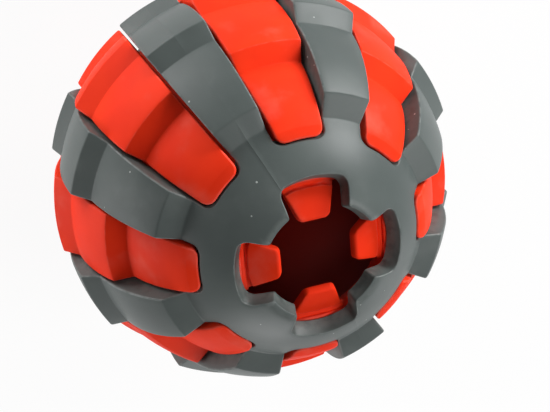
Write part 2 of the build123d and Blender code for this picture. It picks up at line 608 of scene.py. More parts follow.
def lean_inwards(flat: Array, start: float, end: float) -> Array:
    """Directions of walls in a half section: along the axis near the poles and towards the middle elsewhere.

    Args:
        flat: points of the half section.
        start: polar angle where the walls start to lean, in degrees.
        end: polar angle from where they point to the middle, in degrees.

    Returns:
        Unit directions.
    """
    polar = np.degrees(np.arctan2(flat[:, 0], np.abs(flat[:, 1])))
    share = smooth_step(np.clip((polar - start) / (end - start), 0, 1))
    axial = np.stack((np.zeros(len(flat)), -np.sign(flat[:, 1])), axis=1)
    radial = -flat / np.linalg.norm(flat, axis=1)[:, None]
    mixed = axial * (1 - share[:, None]) + radial * share[:, None]
    return mixed / np.linalg.norm(mixed, axis=1)[:, None]


def flatten(turn: Array, walk: Array) -> Array:
    """Azimuth and walk as a flat picture of about the same shape."""
    return np.stack((turn * FLAT_SCALE, walk), axis=1)


def grid_points(
    meridian: Meridian, rows: Array, half_turn: float, away_from: Sequence[Track], clear: float = 0.7
) -> Array:
    """Inner points of a patch that keep clear of its outlines.

    Args:
        meridian: the half section of the surface.
        rows: places of the rows.
        half_turn: half of the patch's azimuth.
        away_from: outlines to keep clear of.
        clear: distance to keep.

    Returns:
        The points as a flat picture.
    """
    count = round(2 * half_turn / COLUMN)
    columns = np.linspace(-half_turn, half_turn, count + 1)[1:-1]
    turn, walk = (part.ravel() for part in np.meshgrid(columns, rows))
    out = meridian.point(walk)[:, 0]
    kept = np.ones(len(turn), bool)
    for loop_turn, loop_walk in away_from:
        gap = np.hypot((turn[:, None] - loop_turn) * out[:, None], walk[:, None] - loop_walk)
        kept &= gap.min(axis=1) > clear
    return flatten(turn[kept], walk[kept])


def frame_outline(half_turn: float, rows: Array, first: Track, last: Track) -> Track:
    """Closed outline of a patch between two rows of points.

    Args:
        half_turn: half of the patch's azimuth.
        rows: places of the points on its two sides.
        first: the row it starts with, from low to high azimuth.
        last: the row it ends with, from low to high azimuth.

    Returns:
        Azimuths and places round the patch.
    """
    side = np.full(len(rows), half_turn)
    turn = np.concatenate((first[0], side, last[0][::-1], -side))
    walk = np.concatenate((first[1], rows, last[1][::-1], rows[::-1]))
    return turn, walk


def even_row(half_turn: float, walk: float) -> Track:
    """A row of evenly spaced points across a patch, at one place of the walk."""
    turn = np.linspace(-half_turn, half_turn, round(2 * half_turn / COLUMN) + 1)
    return turn, np.full(len(turn), walk)


def add_patch(
    draft: MeshDraft,
    meridian: Meridian,
    half_turn: float,
    rows: Array,
    outline: Track,
    holes: Sequence[Track] = (),
    turned: bool = False,
) -> Array:
    """Add a patch of a surface of revolution to a mesh.

    Args:
        draft: the mesh that grows.
        meridian: the half section of the surface.
        half_turn: half of the patch's azimuth.
        rows: places of the rows of inner points.
        outline: outline of the patch.
        holes: outlines of what stays open in it.
        turned: whether the patch looks inwards.

    Returns:
        Numbers of its points in the mesh, with the outline first, then the holes.
    """
    grid = grid_points(meridian, rows, half_turn, [outline, *holes])
    points, triangles = fill(flatten(*outline), [flatten(*hole) for hole in holes], grid)
    numbers = draft.add(meridian.surface(points[:, 0] / FLAT_SCALE, points[:, 1]))
    draft.add_faces(numbers, triangles, turned)
    return numbers


class NodeSheet:
    """A node tree with one method that adds any node."""

    def __init__(self, tree: bpy.types.NodeTree) -> None:
        """Keep the tree.

        Args:
            tree: the tree that gets the nodes.
        """
        self.tree = tree

    def add(
        self,
        kind: str,
        settings: dict[str, Any] | None = None,
        inputs: dict[Any, Any] | None = None,
    ) -> bpy.types.Node:
        """Add a node.

        Args:
            kind: the node's type.
            settings: its own settings, such as a Math node's operation, which are set first.
            inputs: values or links of its sockets, by name or number.

        Returns:
            The node.
        """
        node = self.tree.nodes.new(kind)
        for name, value in (settings or {}).items():
            setattr(node, name, value)
        for name, value in (inputs or {}).items():
            socket = node.inputs[name]
            source = value.socket if isinstance(value, Wire) else value
            if isinstance(source, bpy.types.NodeSocket):
                self.tree.links.new(source, socket)
            else:
                socket.default_value = source
        return node

    def wire(self, node: bpy.types.Node, output: Any = 0) -> "Wire":
        """An output of a node, ready for maths."""
        return Wire(self, node.outputs[output])


class Wire:
    """A value socket that does maths with Python's operators."""

    def __init__(self, sheet: NodeSheet, socket: bpy.types.NodeSocket) -> None:
        """Keep the socket and the sheet it belongs to."""
        self.sheet = sheet
        self.socket = socket

    def _math(self, operation: str, first: Any, second: Any) -> "Wire":
        """Add a Math node."""
        node = self.sheet.add("ShaderNodeMath", {"operation": operation}, {0: first, 1: second})
        return self.sheet.wire(node)

    def __add__(self, other: Any) -> "Wire":
        """Sum."""
        return self._math("ADD", self, other)

    __radd__ = __add__

    def __sub__(self, other: Any) -> "Wire":
        """Difference."""
        return self._math("SUBTRACT", self, other)

    def __rsub__(self, other: Any) -> "Wire":
        """Difference from a number."""
        return self._math("SUBTRACT", other, self)

    def __mul__(self, other: Any) -> "Wire":
        """Product."""
        return self._math("MULTIPLY", self, other)

    __rmul__ = __mul__

    def over(self, low: float, high: float) -> "Wire":
        """Smooth share of the way from one value to another.

        Args:
            low: value up to which the share is 0.
            high: value from which the share is 1.

        Returns:
            The share.
        """
        node = self.sheet.add(
            "ShaderNodeMapRange",
            {"interpolation_type": "SMOOTHSTEP"},
            {"Value": self, "From Min": low, "From Max": high, "To Min": 0.0, "To Max": 1.0},
        )
        return self.sheet.wire(node)

    def past(self, edge: Any) -> "Wire":
        """1 where the value is past an edge, and 0 before it."""
        return self._math("GREATER_THAN", self, edge)


@dataclass(frozen=True)
class Pattern:
    """A noise over the rubber, and the part of its range that shows as patches.

    Args:
        scale: its scale in turns per metre.
        detail: how many finer layers it has.
        low: value at which a patch starts.
        high: value from which a patch is full.
    """

    scale: float
    detail: float
    low: float = 0.0
    high: float = 1.0

    def noise(self, sheet: NodeSheet, place: Wire) -> Wire:
        """The noise at a place."""
        inputs = {"Vector": place, "Scale": self.scale, "Detail": self.detail}
        return sheet.wire(sheet.add("ShaderNodeTexNoise", None, inputs))

    def patches(self, sheet: NodeSheet, place: Wire) -> Wire:
        """1 inside the patches and 0 between them, with soft edges."""
        return self.noise(sheet, place).over(self.low, self.high)


# Mottling, bloom with a painted sheen, scuffed patches, rubbing with a painted highlight along edges, and
# grain.
MOTTLE = Pattern(70.0, 3.0, 0.35, 0.7)
BLOOM_AND_SHEEN_PATTERN = Pattern(95.0, 4.0, 0.52, 0.78)
SCUFF = Pattern(52.0, 5.0, 0.6, 0.76)
RUB_AND_HIGHLIGHT = Pattern(420.0, 3.0, 0.3, 0.62)
GRAIN = Pattern(2600.0, 2.0)
# Strength of the grain's bump, and its depth in metres.
GRAIN_STRENGTH = 0.12
GRAIN_DEPTH = 0.0001
# How far the mottling and the bloom change the roughness.
MOTTLE_ROUGHNESS = 0.14
FILM_ROUGHNESS = 0.1
# Cells of the specks per metre, and the smallest speck and the spread of sizes in shares of a cell.
SPECK_SCALE = 330.0
SPECK_SIZE = 0.04
SPECK_SPREAD = 0.05
# Width of the value that picks the cells with specks, from none to full.
SPECK_PICK = 0.002
SPECK_STRENGTH = 0.8
# Turn and stretch of the cells that hold threads of lint.
LINT_TURN = (0.7, 0.5, 0.2)
LINT_STRETCH = (1.0, 1.0, 0.16)
LINT_STRENGTH = 0.7
# Distances from the middle of the ball, in metres, between which the painted shade of the inside ends.
CAVITY_SHADE_REACH = (0.0395, 0.0415)


@dataclass(frozen=True)
class RubberFinish:
    """A moulded rubber with a fine grain, soft mottling, rubbed edges and settled dust, with a painted
    highlight along its edges, a painted sheen in pale patches and painted shade inside the ball.

    Args:
        name: name of the material.
        base: colour of the rubber.
        shade: colour where the mottling is deepest.
        smudge_and_cavity_shade: colour of scuffed patches and of the painted shade inside the ball.
        dust_and_highlight: colour of specks, lint, bloom and rubbed edges, and of the painted sheen and
            painted highlight that they carry.
        roughness: mean roughness.
        gloss: specular level.
        bloom_and_sheen: strength of the pale patches, a bloom that is also a painted sheen.
        wear: strength of the rubbing along crests and edges, which is also a painted highlight on them.
        scuff: strength of the scuffed patches.
        cavity_shade: strength of the painted shade that darkens the inside of the ball.
        speck_share: share of the cells that hold a speck.
        lint_share: share of the long cells that hold a thread of lint.
    """

    name: str
    base: Rgb
    shade: Rgb
    smudge_and_cavity_shade: Rgb
    dust_and_highlight: Rgb
    roughness: float
    gloss: float
    bloom_and_sheen: float
    wear: float
    scuff: float
    cavity_shade: float
    speck_share: float
    lint_share: float

    def material(self) -> bpy.types.Material:
        """Build the material.

        Returns:
            The material.
        """
        made = bpy.data.materials.new(self.name)
        made.use_nodes = True
        made.node_tree.nodes.clear()
        sheet = NodeSheet(made.node_tree)
        place = sheet.wire(sheet.add("ShaderNodeTexCoord"), "Object")
        mottle = MOTTLE.noise(sheet, place)
        # The pale patches are bloom and also a painted sheen.
        bloom_and_sheen_patches = BLOOM_AND_SHEEN_PATTERN.patches(sheet, place)
        scuff = SCUFF.patches(sheet, place)
        grain = GRAIN.noise(sheet, place)
        # The rubbed edges also carry a painted highlight on their roundings.
        edge = sheet.wire(sheet.add("ShaderNodeAttribute", {"attribute_name": WEAR_AND_HIGHLIGHT_ATTRIBUTE}), "Fac")
        rubbed_and_highlit = edge * RUB_AND_HIGHLIGHT.patches(sheet, place)
        speck = self._specks(sheet, place, self.speck_share)
        long_way = sheet.add(
            "ShaderNodeMapping", None, {"Vector": place, "Rotation": LINT_TURN, "Scale": LINT_STRETCH}
        )
        lint = self._specks(sheet, sheet.wire(long_way), self.lint_share)
        # Painted shade: the inside of the ball is darkened towards its middle.
        reach = sheet.add("ShaderNodeVectorMath", {"operation": "LENGTH"}, {0: place})
        inner = 1 - sheet.wire(reach, "Value").over(*CAVITY_SHADE_REACH)
        layers = (
            (scuff * self.scuff, self.smudge_and_cavity_shade),
            (bloom_and_sheen_patches * self.bloom_and_sheen, self.dust_and_highlight),
            (rubbed_and_highlit * self.wear, self.dust_and_highlight),
            (speck * SPECK_STRENGTH, self.dust_and_highlight),
            (lint * LINT_STRENGTH, self.dust_and_highlight),
            (inner * self.cavity_shade, self.smudge_and_cavity_shade),
        )
        colour = self._mix(sheet, mottle.over(MOTTLE.low, MOTTLE.high), (*self.shade, 1), (*self.base, 1))
        for share, upper in layers:
            colour = self._mix(sheet, share, colour, (*upper, 1))
        mean = self.roughness - MOTTLE_ROUGHNESS / 2
        roughness = mottle * MOTTLE_ROUGHNESS + bloom_and_sheen_patches * FILM_ROUGHNESS + mean
        bump = sheet.add(
            "ShaderNodeBump", None, {"Strength": GRAIN_STRENGTH, "Distance": GRAIN_DEPTH, "Height": grain}
        )
        shader = sheet.add(
            "ShaderNodeBsdfPrincipled",
            None,
            {
                "Base Color": colour,
                "Roughness": roughness,
                "Specular IOR Level": self.gloss,
                "Normal": bump.outputs["Normal"],
            },
        )
        sheet.add("ShaderNodeOutputMaterial", None, {"Surface": shader.outputs[0]})
        return made

    @staticmethod
    def _specks(sheet: NodeSheet, place: Wire, share: float) -> Wire:
        """Small round marks in some of the cells round scattered points.

        Args:
            sheet: the sheet that gets the nodes.
            place: where a point of the rubber lies.
            share: share of the cells that hold a mark.

        Returns:
            1 on the marks and 0 elsewhere.
        """
        cells = sheet.add(
            "ShaderNodeTexVoronoi", None, {"Vector": place, "Scale": SPECK_SCALE, "Randomness": 1.0}
        )
        pick = sheet.add("ShaderNodeSeparateColor", None, {"Color": cells.outputs["Color"]})
        chosen = sheet.wire(pick, "Red").over(1 - share, 1 - share + SPECK_PICK)
        size = sheet.wire(pick, "Green") * SPECK_SPREAD + SPECK_SIZE
        return chosen * (1 - sheet.wire(cells, "Distance").past(size))

    @staticmethod
    def _mix(sheet: NodeSheet, factor: Wire, first: Any, second: Any) -> bpy.types.NodeSocket:
        """Mix two colours."""
        # A Mix node has sockets of the same name for each type, so those of colours are called by number.
        node = sheet.add("ShaderNodeMix", {"data_type": "RGBA"}, {0: factor, 6: first, 7: second})
        return node.outputs[2]


class RepeatTree:
    """Geometry Nodes that repeat a sector about the axis, weld it and give it its material."""

    def __init__(self) -> None:
        """Build the tree."""
        self.tree = bpy.data.node_groups.new("repeat_about_axis", "GeometryNodeTree")
        self._socket("Geometry", "INPUT", "NodeSocketGeometry")
        self.count = self._socket("Count", "INPUT", "NodeSocketInt")
        self.weld = self._socket("Weld distance", "INPUT", "NodeSocketFloat")
        self.material = self._socket("Material", "INPUT", "NodeSocketMaterial")
        self._socket("Geometry", "OUTPUT", "NodeSocketGeometry")
        sheet = NodeSheet(self.tree)
        given = sheet.add("NodeGroupInput")
        points = sheet.add("GeometryNodePoints", None, {"Count": given.outputs["Count"]})
        index = sheet.wire(sheet.add("GeometryNodeInputIndex"))
        share = sheet.add("ShaderNodeMath", {"operation": "DIVIDE"}, {0: index, 1: given.outputs["Count"]})
        turn = sheet.add("ShaderNodeCombineXYZ", None, {"Z": sheet.wire(share) * (2 * pi)})
        copies = sheet.add(
            "GeometryNodeInstanceOnPoints",
            None,
            {
                "Points": points.outputs[0],
                "Instance": given.outputs["Geometry"],
                "Rotation": turn.outputs[0],
            },
        )
        real = sheet.add("GeometryNodeRealizeInstances", None, {"Geometry": copies.outputs[0]})
        welded = sheet.add(
            "GeometryNodeMergeByDistance",
            None,
            {"Geometry": real.outputs[0], "Distance": given.outputs["Weld distance"]},
        )
        smooth = sheet.add("GeometryNodeSetShadeSmooth", None, {"Geometry": welded.outputs[0]})
        dressed = sheet.add(
            "GeometryNodeSetMaterial",
            None,
            {"Geometry": smooth.outputs[0], "Material": given.outputs["Material"]},
        )
        sheet.add("NodeGroupOutput", None, {"Geometry": dressed.outputs[0]})

    def _socket(self, name: str, way: str, kind: str) -> str:
        """Give the tree an input or output, and tell the key that a modifier knows it by."""
        return self.tree.interface.new_socket(name, in_out=way, socket_type=kind).identifier

    def run(self, mesh: bpy.types.Mesh, count: int, material: bpy.types.Material) -> bpy.types.Mesh:
        """Repeat a sector.

        Args:
            mesh: the sector.
            count: how often it comes round the axis.
            material: the material of the result.

        Returns:
            The repeated mesh.
        """
        carrier = bpy.data.objects.new(mesh.name, mesh)
        bpy.context.scene.collection.objects.link(carrier)
        modifier = carrier.modifiers.new("repeat", "NODES")
        modifier.node_group = self.tree
        modifier[self.count] = count
        modifier[self.weld] = MERGE_DISTANCE
        modifier[self.material] = material
        graph = bpy.context.evaluated_depsgraph_get()
        made = bpy.data.meshes.new_from_object(carrier.evaluated_get(graph), depsgraph=graph)
        bpy.data.objects.remove(carrier)
        return made


def weld(meshes: Sequence[bpy.types.Mesh]) -> bmesh.types.BMesh:
    """Join meshes into one closed shell with outward faces.

    Args:
        meshes: the meshes that meet.

    Returns:
        The shell.
    """
    shell = bmesh.new()
    for mesh in meshes:
        shell.from_mesh(mesh)
    bmesh.ops.remove_doubles(shell, verts=shell.verts, dist=MERGE_DISTANCE)
    bmesh.ops.recalc_face_normals(shell, faces=shell.faces)
    for one in shell.faces:
        one.smooth = True
    open_edges = sum(len(edge.link_faces) != 2 for edge in shell.edges)
    log.info("welded %d faces, %d edges without two faces", len(shell.faces), open_edges)
    return shell


def cut_shell(
    shell: bmesh.types.BMesh, place: Vector, across: Vector, clear: bool = False
) -> list[bmesh.types.BMEdge]:
    """Cut a shell along a plane.

    Args:
        shell: the shell.
        place: a point of the plane.
        across: direction square to the plane.
        clear: whether what lies past the plane is taken away.

    Returns:
        The edges along the cut.
    """
    cut = bmesh.ops.bisect_plane(
        shell,
        geom=[*shell.verts, *shell.edges, *shell.faces],
        dist=CUT_DISTANCE,
        plane_co=place,
        plane_no=across,
        clear_outer=clear,
    )
    return [one for one in cut["geom_cut"] if isinstance(one, bmesh.types.BMEdge)]


def mark_wear_and_highlight(shell: bmesh.types.BMesh) -> None:
    """Note on each point how far it lies on a crest or outer edge, where the rubber is rubbed and a highlight
    is painted.

    Args:
        shell: a closed shell with outward faces.
    """
    layer = shell.verts.layers.float.new(WEAR_AND_HIGHLIGHT_ATTRIBUTE)
    low, high = WEAR_AND_HIGHLIGHT_ANGLES
    for point in shell.verts:
        bend = max(edge.calc_face_angle_signed(0.0) for edge in point.link_edges)
        point[layer] = min(max((bend - low) / (high - low), 0.0), 1.0)


def piece(
    name: str, shell: bmesh.types.BMesh, material: bpy.types.Material, sharp: float
) -> bpy.types.Object:
    """A finished piece of the ball.

    Args:
        name: its name.
        shell: its shape, freed afterwards.
        material: its material.
        sharp: angle in degrees past which an edge stays crisp.

    Returns:
        The object.
    """
    mesh = bpy.data.meshes.new(name)
    shell.to_mesh(mesh)
    shell.free()
    mesh.materials.clear()
    mesh.materials.append(material)
    mesh.set_sharp_from_angle(angle=radians(sharp))
    made = bpy.data.objects.new(name, mesh)
    bpy.context.scene.collection.objects.link(made)
    return made


@dataclass
class Cage:
    """The grey cage: two caps with notched openings and eight stepped ribs between the windows.

    Args:
        tread_radius: radius of the crests of the ribs.
        tread_drop: depth of a tread at its foot.
        cap: outer side of the caps.
        bore: inner side, which the red ball fills.
        cap_edge_angle: polar angle of the edge of a cap, in degrees.
        ramp_foot_angles: polar angles of the feet of the ramps, in degrees.
        ramp_top_angles: polar angles of the crests of the ramps, in degrees.
        crest_rounding: radius of the crests.
        foot_rounding: radius of the feet of the ramps.
        window_edge_rounding: radius of the edges of the windows.
        mouth_edge_rounding: radius of the edges of the openings.
        rib_count: how many ribs there are.
        window_land: how far the windows reach into the caps, in plan.
        window_half_angle: half of the azimuth of a window, in degrees.
        window_corner: radius of the corners of the windows.
        opening_radius: radius of the openings between the notches.
        notch_count: how many notches an opening has.
        notch_radius: distance of the outer ends of the notches from the axis.
        notch_mouth_width: width of a notch at the opening.
        notch_outer_width: width of a notch at its outer end.
        notch_corner: radius of the outer corners of a notch.
        tooth_corner: radius of the corners of the teeth between the notches.
        rim_land: width of the flat land round an opening.
        land_rounding: radius between the land and the cap.
        ring_radius: distance from the axis of the ring where a cap is joined to the ribs.
        seam_azimuth: azimuth of the seam between the halves, in degrees.
        flash_width: half of the width of the line of flash on the seam.
        flash_height: height of the flash.
        flash_rubbed: polar angles between which the flash is rubbed away, in degrees.
        flash_fade: polar angle over which the flash comes back, in degrees.
        flash_facing: least share of a point's normal that looks outwards where flash is raised.
        sharp_angle: bend in degrees past which an edge stays crisp.
        cap_points: points of the half section over a cap.
        cap_rows: rows of points over a cap.
        strip_rows: rows of points along the sides of a cap's sector.
        notch_points: points of half of the outer end of a notch.
        bend_points: points of a corner of a notch.
        side_points: points of a side of a notch.
        tooth_points: points of a corner of a tooth, and of half of its end.
        meridian: half section through a rib.
        window_end: distance of the ends of the windows from the axis.
    """

    tread_radius: float = 50.0
    tread_drop: float = 3.0
    cap: DoubleCap = DoubleCap(42.0, 36.0, 16.0)
    bore: DoubleCap = DoubleCap(42.0, 32.0, 16.0)
    cap_edge_angle: float = 40.7
    ramp_foot_angles: tuple[float, ...] = (74.5, 107.5)
    ramp_top_angles: tuple[float, ...] = (46.5, 80.0, 113.0)
    crest_rounding: float = 0.9
    foot_rounding: float = 0.7
    window_edge_rounding: float = 0.45
    mouth_edge_rounding: float = 0.3
    rib_count: int = 8
    window_land: float = 3.4
    window_half_angle: float = 12.9
    window_corner: float = 2.6
    opening_radius: float = 14.4
    notch_count: int = 4
    notch_radius: float = 20.6
    notch_mouth_width: float = 14.5
    notch_outer_width: float = 17.0
    notch_corner: float = 2.4
    tooth_corner: float = 0.8
    rim_land: float = 1.2
    land_rounding: float = 2.5
    ring_radius: float = 24.0
    seam_azimuth: float = 112.5
    flash_width: float = 0.2
    flash_height: float = 0.06
    flash_rubbed: tuple[float, float] = (43.0, 77.0)
    flash_fade: float = 4.0
    flash_facing: float = 0.5
    sharp_angle: float = 50.0
    cap_points: int = 15
    cap_rows: int = 12
    strip_rows: int = 5
    notch_points: int = 9
    bend_points: int = 8
    side_points: int = 5
    tooth_points: int = 6
    meridian: Meridian = field(init=False)
    window_end: float = field(init=False)

    def __post_init__(self) -> None:
        """Draw the half section through a rib."""
        edge_polar = radians(self.cap_edge_angle)
        edge_radius = float(self.cap.reach(np.array(edge_polar)))
        edge = polar_corner(edge_radius, self.cap_edge_angle, self.foot_rounding)
        self.window_end = edge.out - self.window_land
        land_out = self.opening_radius + self.rim_land
        land_up = float(self.cap.height(land_out))
        outs = np.linspace(land_out, edge.out, self.cap_points)[1:-1]
        cap = [Corner(self.opening_radius, land_up), Corner(land_out, land_up, self.land_rounding)]
        cap += [Corner(float(out), float(self.cap.height(out))) for out in outs]
        tops = [polar_corner(self.tread_radius, angle, self.crest_rounding) for angle in self.ramp_top_angles]
        foot_radius = self.tread_radius - self.tread_drop
        feet = [polar_corner(foot_radius, angle, self.foot_rounding) for angle in self.ramp_foot_angles]
        far_edge = Corner(edge.out, -edge.up)
        corners = [*cap, edge]
        for top, foot in zip(tops, [*feet, far_edge]):
            corners += [top, *swelling_run(top, foot), foot]
        corners += [point.mirrored() for point in cap[::-1]]
        self.meridian = Meridian(corners)

    def wall_way(self, flat: Array) -> Array:
        """Directions of walls: square to the cap at the openings, and as at the windows elsewhere.

        Args:
            flat: points of the half section.

        Returns:
            Unit directions.
        """
        centre = np.stack((np.zeros(len(flat)), np.sign(flat[:, 1]) * self.cap.cap_centre), axis=1)
        square = (centre - flat) / np.linalg.norm(centre - flat, axis=1)[:, None]
        past = (flat[:, :1] - self.notch_radius) / (self.ring_radius - self.notch_radius)
        share = np.clip(past, 0, 1)
        mixed = square * (1 - share) + lean_inwards(flat, *WALL_LEAN) * share
        return mixed / np.linalg.norm(mixed, axis=1)[:, None]

    def inner(self, turn: Array, walk: Array) -> Array:
        """Points of the bore under places of the outer surface."""
        flat = self.meridian.point(walk)
        return stand(turn, self.bore.hit(flat, self.wall_way(flat)))

    def add_shell(
        self,
        draft: MeshDraft,
        outline: Track,
        edges: Sequence[tuple[Edge, int]],
        rows: Array,
        half_turn: float,
    ) -> None:
        """Add a patch of the cage with its inner side and the walls of its free edges.

        Args:
            draft: the mesh that grows.
            outline: outline of the patch; free edges on it are set in by their rounding.
            edges: free edges, each with the number of its first point on the outline, or -1 for a hole.
            rows: places of the rows of inner points.
            half_turn: half of the patch's azimuth.
        """
        outer_turn, outer_walk = outline
        inner_turn, inner_walk = outer_turn.copy(), outer_walk.copy()
        holes: list[Track] = []
        plans = []
        for edge, first in edges:
            turn, walk, rings = edge.rings(self.meridian, self.wall_way(self.meridian.point(edge.walk)))
            if first >= 0:
                outer_turn[first : first + len(turn)] = turn
                outer_walk[first : first + len(walk)] = walk
            else:
                first = len(inner_turn)
                inner_turn = np.concatenate((inner_turn, edge.turn))
                inner_walk = np.concatenate((inner_walk, edge.walk))
                holes.append((turn, walk))
            plans.append((edge, first, rings))
        grid = grid_points(self.meridian, rows, half_turn, [(outer_turn, outer_walk), *holes])
        flat_holes = [flatten(*hole) for hole in holes]
        points, triangles = fill(flatten(outer_turn, outer_walk), flat_holes, grid)
        turn, walk = points[:, 0] / FLAT_SCALE, points[:, 1]
        outer = draft.add(self.meridian.surface(turn, walk))
        turn[: len(inner_turn)] = inner_turn
        walk[: len(inner_walk)] = inner_walk
        inner = draft.add(self.inner(turn, walk))
        draft.add_faces(outer, triangles)
        draft.add_faces(inner, triangles, turned=True)
        for edge, first, rings in plans:
            span = slice(first, first + len(edge.turn))
            draft.loft([outer[span], *(draft.add(ring) for ring in rings[1:]), inner[span]], edge.closed)

    def belt(self) -> MeshDraft:
        """One eighth of the ribs and windows, from rib to rib.

        Returns:
            The draft of the sector.
        """
        half_turn = pi / self.rib_count
        start = self.meridian.walk_at_out(self.ring_radius)
        end = self.meridian.length - start
        window_start = self.meridian.walk_at_out(self.window_end)
        ends = (window_start, self.meridian.length - window_start)
        half_angle = radians(self.window_half_angle)
        turn, walk = wedge_loop(self.meridian, half_angle, 0.0, ends, self.window_corner)
        window = Edge(turn, walk, True, self.window_edge_rounding)
        rows = self.meridian.rows(start, end, FINE_ROW)
        outline = frame_outline(half_turn, rows, even_row(half_turn, start), even_row(half_turn, end))
        draft = MeshDraft()
        self.add_shell(draft, outline, [(window, -1)], rows, half_turn)
        return draft

    def opening_plan(self) -> Array:
        """Half of a notch and half of a tooth, in plan, with the notch about +X.

        Returns:
            Points from the middle of the notch to the middle of the tooth.
        """
        mouth_half = self.notch_mouth_width / 2
        outer_half = self.notch_outer_width / 2
        mouth = np.array((sqrt(self.opening_radius**2 - mouth_half**2), mouth_half))
        outer = np.array((sqrt(self.notch_radius**2 - outer_half**2), outer_half))
        along = (outer - mouth) / np.linalg.norm(outer - mouth)
        normal = np.array((-along[1], along[0]))
        # The corner of the notch touches its side and its outer arc from within.
        inner_reach = self.notch_radius - self.notch_corner
        notch_centre = self._circle_centre(mouth - normal * self.notch_corner, along, inner_reach)
        # The corner of the tooth touches the side and the opening's arc from the other side.
        tooth_reach = self.opening_radius + self.tooth_corner
        tooth_centre = self._circle_centre(mouth + normal * self.tooth_corner, along, tooth_reach)
        notch_turn = np.arctan2(notch_centre[1], notch_centre[0])
        tooth_turn = np.arctan2(tooth_centre[1], tooth_centre[0])
        side_turn = np.arctan2(normal[1], normal[0])
        notch = arc((0, 0), self.notch_radius, 0, notch_turn, self.notch_points)
        bend = arc(notch_centre, self.notch_corner, notch_turn, side_turn, self.bend_points)[1:]
        tip = arc(tooth_centre, self.tooth_corner, side_turn - pi, tooth_turn - pi, self.tooth_points)
        rim = arc((0, 0), self.opening_radius, tooth_turn, pi / self.notch_count, self.tooth_points)[1:]
        share = np.linspace(0, 1, self.side_points)[1:-1, None]
        side = bend[-1] * (1 - share) + tip[0] * share
        return np.vstack((notch, bend, side, tip, rim))

    @staticmethod
    def _circle_centre(start: Array, along: Array, reach: float) -> Array:
        """Point on a line, ahead of its start, at a distance from the axis."""
        project = float(start @ along)
        return start + along * (-project + sqrt(project**2 - float(start @ start) + reach**2))

    def cap_sector(self) -> MeshDraft:
        """One quarter of the upper cap, from notch to notch with a tooth between.

        Returns:
            The draft of the sector.
        """
        half_turn = pi / self.notch_count
        plan = self.opening_plan()
        out = np.hypot(plan[:, 0], plan[:, 1])
        turn = np.arctan2(plan[:, 1], plan[:, 0]) - half_turn
        turn = np.concatenate((turn, -turn[-2::-1]))
        out = np.concatenate((out, out[-2::-1]))
        walk = np.array([self.meridian.walk_at_out(float(one)) for one in out])
        opening = Edge(turn, walk, False, self.mouth_edge_rounding)
        end = self.meridian.walk_at_out(self.ring_radius)
        notch_walk = self.meridian.walk_at_out(self.notch_radius)
        side_rows = np.linspace(notch_walk, end, self.strip_rows)[2:-1]
        outline = frame_outline(half_turn, side_rows, (turn, walk), even_row(half_turn, end))
        draft = MeshDraft()
        rows = np.linspace(0, end, self.cap_rows)[1:-1]
        self.add_shell(draft, outline, [(opening, 0)], rows, half_turn)
        return draft

    def raise_flash(self, whole: bmesh.types.BMesh, across: Vector) -> None:
        """Raise the fine line of flash where the halves of the mould met.

        Args:
            whole: the cage in one shell.
            across: unit direction square to the seam.
        """
        for offset in (-self.flash_width, 0.0, self.flash_width):
            cut_shell(whole, across * offset * MM, across)
        whole.normal_update()
        seam = [one for one in whole.verts if abs(one.co.dot(across)) < MERGE_DISTANCE]
        crest = [one for one in seam if one.normal.dot(one.co.normalized()) > self.flash_facing]
        ways = [one.normal.copy() for one in crest]
        low, high = self.flash_rubbed
        for one, way in zip(crest, ways):
            polar = degrees(acos(min(abs(one.co.normalized().z), 1.0)))
            left = min(max(max(low - polar, polar - high) / self.flash_fade, 0.0), 1.0)
            way -= across * way.dot(across)
            one.co += way.normalized() * self.flash_height * left * MM

    def build(self, repeat: RepeatTree, material: bpy.types.Material) -> list[bpy.types.Object]:
        """Build both halves of the cage.

        Args:
            repeat: the tree that repeats a sector.
            material: the grey rubber.

        Returns:
            The left half and the right half.
        """
        ribs = repeat.run(self.belt().mesh("cage_ribs"), self.rib_count, material)
        cap = self.cap_sector()
        tooth_first = Matrix.Rotation(pi / self.notch_count, 4, "Z")
        caps = []
        for end in End:
            sector = cap.mesh(f"cage_cap_{end.name.lower()}", (1, 1, end.value))
            sector.transform(tooth_first)
            caps.append(repeat.run(sector, self.notch_count, material))
        whole = weld([ribs, *caps])
        seam = radians(self.seam_azimuth)
        across = Vector((sin(seam), -cos(seam), 0))
        self.raise_flash(whole, across)
        mark_wear_and_highlight(whole)
        halves = []
        for name, side in (("cage_left_half", -1), ("cage_right_half", 1)):
            half = whole.copy()
            rim = cut_shell(half, Vector((0, 0, 0)), across * side, clear=True)
            lids = bmesh.ops.holes_fill(half, edges=rim, sides=0)["faces"]
            bmesh.ops.triangulate(half, faces=lids)
            bmesh.ops.recalc_face_normals(half, faces=half.faces)
            halves.append(piece(name, half, material, self.sharp_angle))
        whole.free()
        return halves


